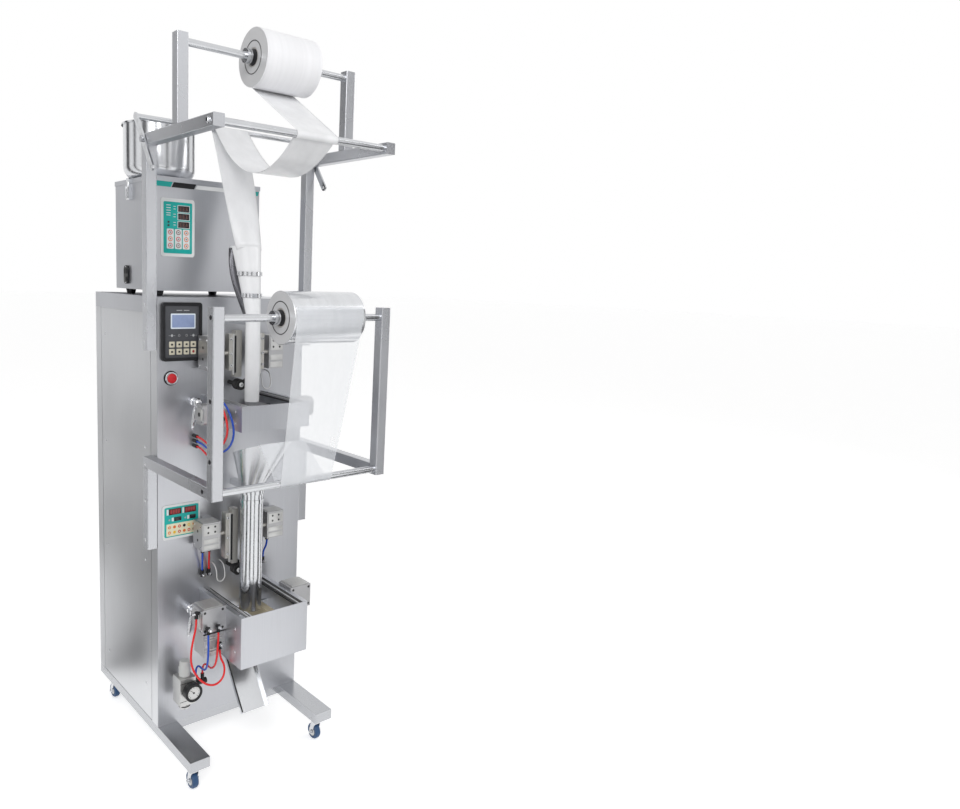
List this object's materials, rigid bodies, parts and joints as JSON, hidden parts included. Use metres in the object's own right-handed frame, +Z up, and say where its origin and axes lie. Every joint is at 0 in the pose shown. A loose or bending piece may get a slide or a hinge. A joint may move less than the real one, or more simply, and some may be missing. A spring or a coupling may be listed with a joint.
{
  "type": "vertical form fill seal machine",
  "caption": "Floor-standing packing machine: a cabinet on casters, a weighing filler with a feed pot, two film rolls, formers and sealing jaws.",
  "frame": {"origin": "on the floor, at the middle of the whole machine's outline, front to back and side to side", "axes": "+X to the operator's right, +Y from the front of the machine to its back, +Z up"},
  "size_m": [0.4686, 0.749, 1.718],
  "materials": {
    "stainless": "brushed",
    "painted_base": "satin",
    "chrome": "polished",
    "aluminium": "satin",
    "navy_tyre": "satin",
    "black_plastic": "matte",
    "hose_red_blue": "gloss",
    "cable_white": "satin",
    "teal_panel": "satin",
    "red_plastic": "gloss",
    "cream_rubber": "matte",
    "black_rubber": "matte",
    "film": "satin",
    "lower_film": "satin",
    "regulator_grey": "satin"
  },
  "bodies": {
    "machine": {"cabinet_housing": "stainless", "side_panels": "stainless", "top_cap": "stainless", "front_plate": "stainless", "filler_housing": "stainless", "filler_lid": "stainless", "frame_posts": "stainless", "frame_arms": "stainless", "frame_uprights": "stainless", "upper_guard_box": "stainless", "lower_guard_box": "stainless", "discharge_chute": "stainless", "hopper": "stainless", "upper_former": "stainless", "lower_former": "stainless", "forming_tube": "stainless", "base_frame": "painted_base", "film_rods": "chrome", "jaw_guides": "chrome", "filler_latches": "chrome", "air_cylinders": "aluminium", "filler_feet": "black_plastic", "power_inlet": "black_plastic", "controller": "black_plastic", "button_bezel": "black_plastic", "air_fittings": "black_plastic", "air_hoses": "hose_red_blue", "cables": "cable_white", "membrane_panels": "teal_panel", "upper_web": "film", "upper_film_sleeve": "film", "lower_web": "lower_film", "air_regulator": "regulator_grey"},
    "upper_roll": {"upper_film_roll": "film"},
    "lower_roll": {"lower_film_roll": "lower_film"},
    "dancer": {"dancer_bar": "chrome"},
    "caster_front_left": {"caster_fork_front_left": "chrome"},
    "wheel_front_left": {"caster_wheel_front_left": "navy_tyre"},
    "caster_front_right": {"caster_fork_front_right": "chrome"},
    "wheel_front_right": {"caster_wheel_front_right": "navy_tyre"},
    "caster_rear_left": {"caster_fork_rear_left": "chrome"},
    "wheel_rear_left": {"caster_wheel_rear_left": "navy_tyre"},
    "caster_rear_right": {"caster_fork_rear_right": "chrome"},
    "wheel_rear_right": {"caster_wheel_rear_right": "navy_tyre"},
    "upper_lever": {"upper_handle": "chrome"},
    "lower_lever": {"lower_handle": "chrome"},
    "stop": {"stop_button": "red_plastic"},
    "pressure_knob": {"regulator_knob": "black_plastic"},
    "upper_jaw_left": {"upper_jaw_left": "stainless"},
    "upper_bar_left": {"upper_seal_bar_left": "aluminium"},
    "upper_pull_left": {"upper_pull_wheel_left": "black_rubber"},
    "upper_jaw_right": {"upper_jaw_right": "stainless"},
    "upper_bar_right": {"upper_seal_bar_right": "aluminium"},
    "upper_pull_right": {"upper_pull_wheel_right": "black_rubber"},
    "lower_jaw_left": {"lower_jaw_left": "cream_rubber"},
    "lower_bar_left": {"lower_seal_bar_left": "aluminium"},
    "lower_pull_left": {"lower_pull_wheel_left": "black_rubber"},
    "lower_jaw_right": {"lower_jaw_right": "cream_rubber"},
    "lower_bar_right": {"lower_seal_bar_right": "aluminium"},
    "lower_pull_right": {"lower_pull_wheel_right": "black_rubber"}
  },
  "joints": [
    {"name": "upper_roll_spin", "type": "hinge", "parent": "machine", "child": "upper_roll", "pos_m": [0, -0.158, 1.657], "axis": [1, 0, 0], "continuous": true},
    {"name": "lower_roll_spin", "type": "hinge", "parent": "machine", "child": "lower_roll", "pos_m": [0, -0.318, 1.111], "axis": [1, 0, 0], "continuous": true},
    {"name": "dancer_swing", "type": "hinge", "parent": "machine", "child": "dancer", "pos_m": [0, -0.0071, 1.4825], "axis": [1, 0, 0], "range_deg": [-20, 20], "deforming": ["upper_web"]},
    {"name": "caster_swivel_front_left", "type": "hinge", "parent": "machine", "child": "caster_front_left", "pos_m": [-0.175, -0.1615, 0.065], "axis": [0, 0, 1], "continuous": true},
    {"name": "caster_spin_front_left", "type": "hinge", "parent": "caster_front_left", "child": "wheel_front_left", "pos_m": [-0.175, -0.1515, 0.02], "axis": [1, 0, 0], "continuous": true},
    {"name": "caster_swivel_front_right", "type": "hinge", "parent": "machine", "child": "caster_front_right", "pos_m": [0.175, -0.1615, 0.065], "axis": [0, 0, 1], "continuous": true},
    {"name": "caster_spin_front_right", "type": "hinge", "parent": "caster_front_right", "child": "wheel_front_right", "pos_m": [0.175, -0.1515, 0.02], "axis": [1, 0, 0], "continuous": true},
    {"name": "caster_swivel_rear_left", "type": "hinge", "parent": "machine", "child": "caster_rear_left", "pos_m": [-0.175, 0.3225, 0.065], "axis": [0, 0, 1], "continuous": true},
    {"name": "caster_spin_rear_left", "type": "hinge", "parent": "caster_rear_left", "child": "wheel_rear_left", "pos_m": [-0.175, 0.3325, 0.02], "axis": [1, 0, 0], "continuous": true},
    {"name": "caster_swivel_rear_right", "type": "hinge", "parent": "machine", "child": "caster_rear_right", "pos_m": [0.175, 0.3225, 0.065], "axis": [0, 0, 1], "continuous": true},
    {"name": "caster_spin_rear_right", "type": "hinge", "parent": "caster_rear_right", "child": "wheel_rear_right", "pos_m": [0.175, 0.3325, 0.02], "axis": [1, 0, 0], "continuous": true},
    {"name": "upper_lever_turn", "type": "hinge", "parent": "machine", "child": "upper_lever", "pos_m": [-0.116, -0.0458, 0.897], "axis": [0, 1, 0], "range_deg": [0, 90]},
    {"name": "lower_lever_turn", "type": "hinge", "parent": "machine", "child": "lower_lever", "pos_m": [-0.124, -0.0458, 0.386], "axis": [0, 1, 0], "range_deg": [0, 90]},
    {"name": "stop_press", "type": "slide", "parent": "machine", "child": "stop", "axis": [0, 1, 0], "range_m": [0, 0.004], "stiffness_N_per_m": 800},
    {"name": "pressure_knob_turn", "type": "hinge", "parent": "machine", "child": "pressure_knob", "pos_m": [-0.152, -0.0605, 0.233], "axis": [0, 0, 1], "continuous": true},
    {"name": "upper_jaw_left_close", "type": "slide", "parent": "machine", "child": "upper_jaw_left", "axis": [1, 0, 0], "range_m": [0, 0.0245]},
    {"name": "upper_bar_left_close", "type": "slide", "parent": "machine", "child": "upper_bar_left", "axis": [1, 0, 0], "range_m": [0, 0.0115]},
    {"name": "upper_pull_left_spin", "type": "hinge", "parent": "machine", "child": "upper_pull_left", "pos_m": [-0.0135, -0.0635, 0.937], "axis": [0, 1, 0], "continuous": true},
    {"name": "upper_jaw_right_close", "type": "slide", "parent": "machine", "child": "upper_jaw_right", "axis": [-1, 0, 0], "range_m": [0, 0.0245]},
    {"name": "upper_bar_right_close", "type": "slide", "parent": "machine", "child": "upper_bar_right", "axis": [-1, 0, 0], "range_m": [0, 0.0115]},
    {"name": "upper_pull_right_spin", "type": "hinge", "parent": "machine", "child": "upper_pull_right", "pos_m": [0.0135, -0.0635, 0.937], "axis": [0, 1, 0], "continuous": true},
    {"name": "lower_jaw_left_close", "type": "slide", "parent": "machine", "child": "lower_jaw_left", "axis": [1, 0, 0], "range_m": [0, 0.0305]},
    {"name": "lower_bar_left_close", "type": "slide", "parent": "machine", "child": "lower_bar_left", "axis": [1, 0, 0], "range_m": [0, 0.0155]},
    {"name": "lower_pull_left_spin", "type": "hinge", "parent": "machine", "child": "lower_pull_left", "pos_m": [-0.0135, -0.0635, 0.475], "axis": [0, 1, 0], "continuous": true},
    {"name": "lower_jaw_right_close", "type": "slide", "parent": "machine", "child": "lower_jaw_right", "axis": [-1, 0, 0], "range_m": [0, 0.0305]},
    {"name": "lower_bar_right_close", "type": "slide", "parent": "machine", "child": "lower_bar_right", "axis": [-1, 0, 0], "range_m": [0, 0.0155]},
    {"name": "lower_pull_right_spin", "type": "hinge", "parent": "machine", "child": "lower_pull_right", "pos_m": [0.0135, -0.0635, 0.475], "axis": [0, 1, 0], "continuous": true}
  ],
  "couplings": [
    {"joint": "upper_jaw_right_close", "follows": "upper_jaw_left_close", "ratio": 1},
    {"joint": "upper_bar_right_close", "follows": "upper_bar_left_close", "ratio": 1},
    {"joint": "upper_pull_right_spin", "follows": "upper_pull_left_spin", "ratio": -1},
    {"joint": "lower_jaw_right_close", "follows": "lower_jaw_left_close", "ratio": 1},
    {"joint": "lower_bar_right_close", "follows": "lower_bar_left_close", "ratio": 1},
    {"joint": "lower_pull_right_spin", "follows": "lower_pull_left_spin", "ratio": -1}
  ]
}
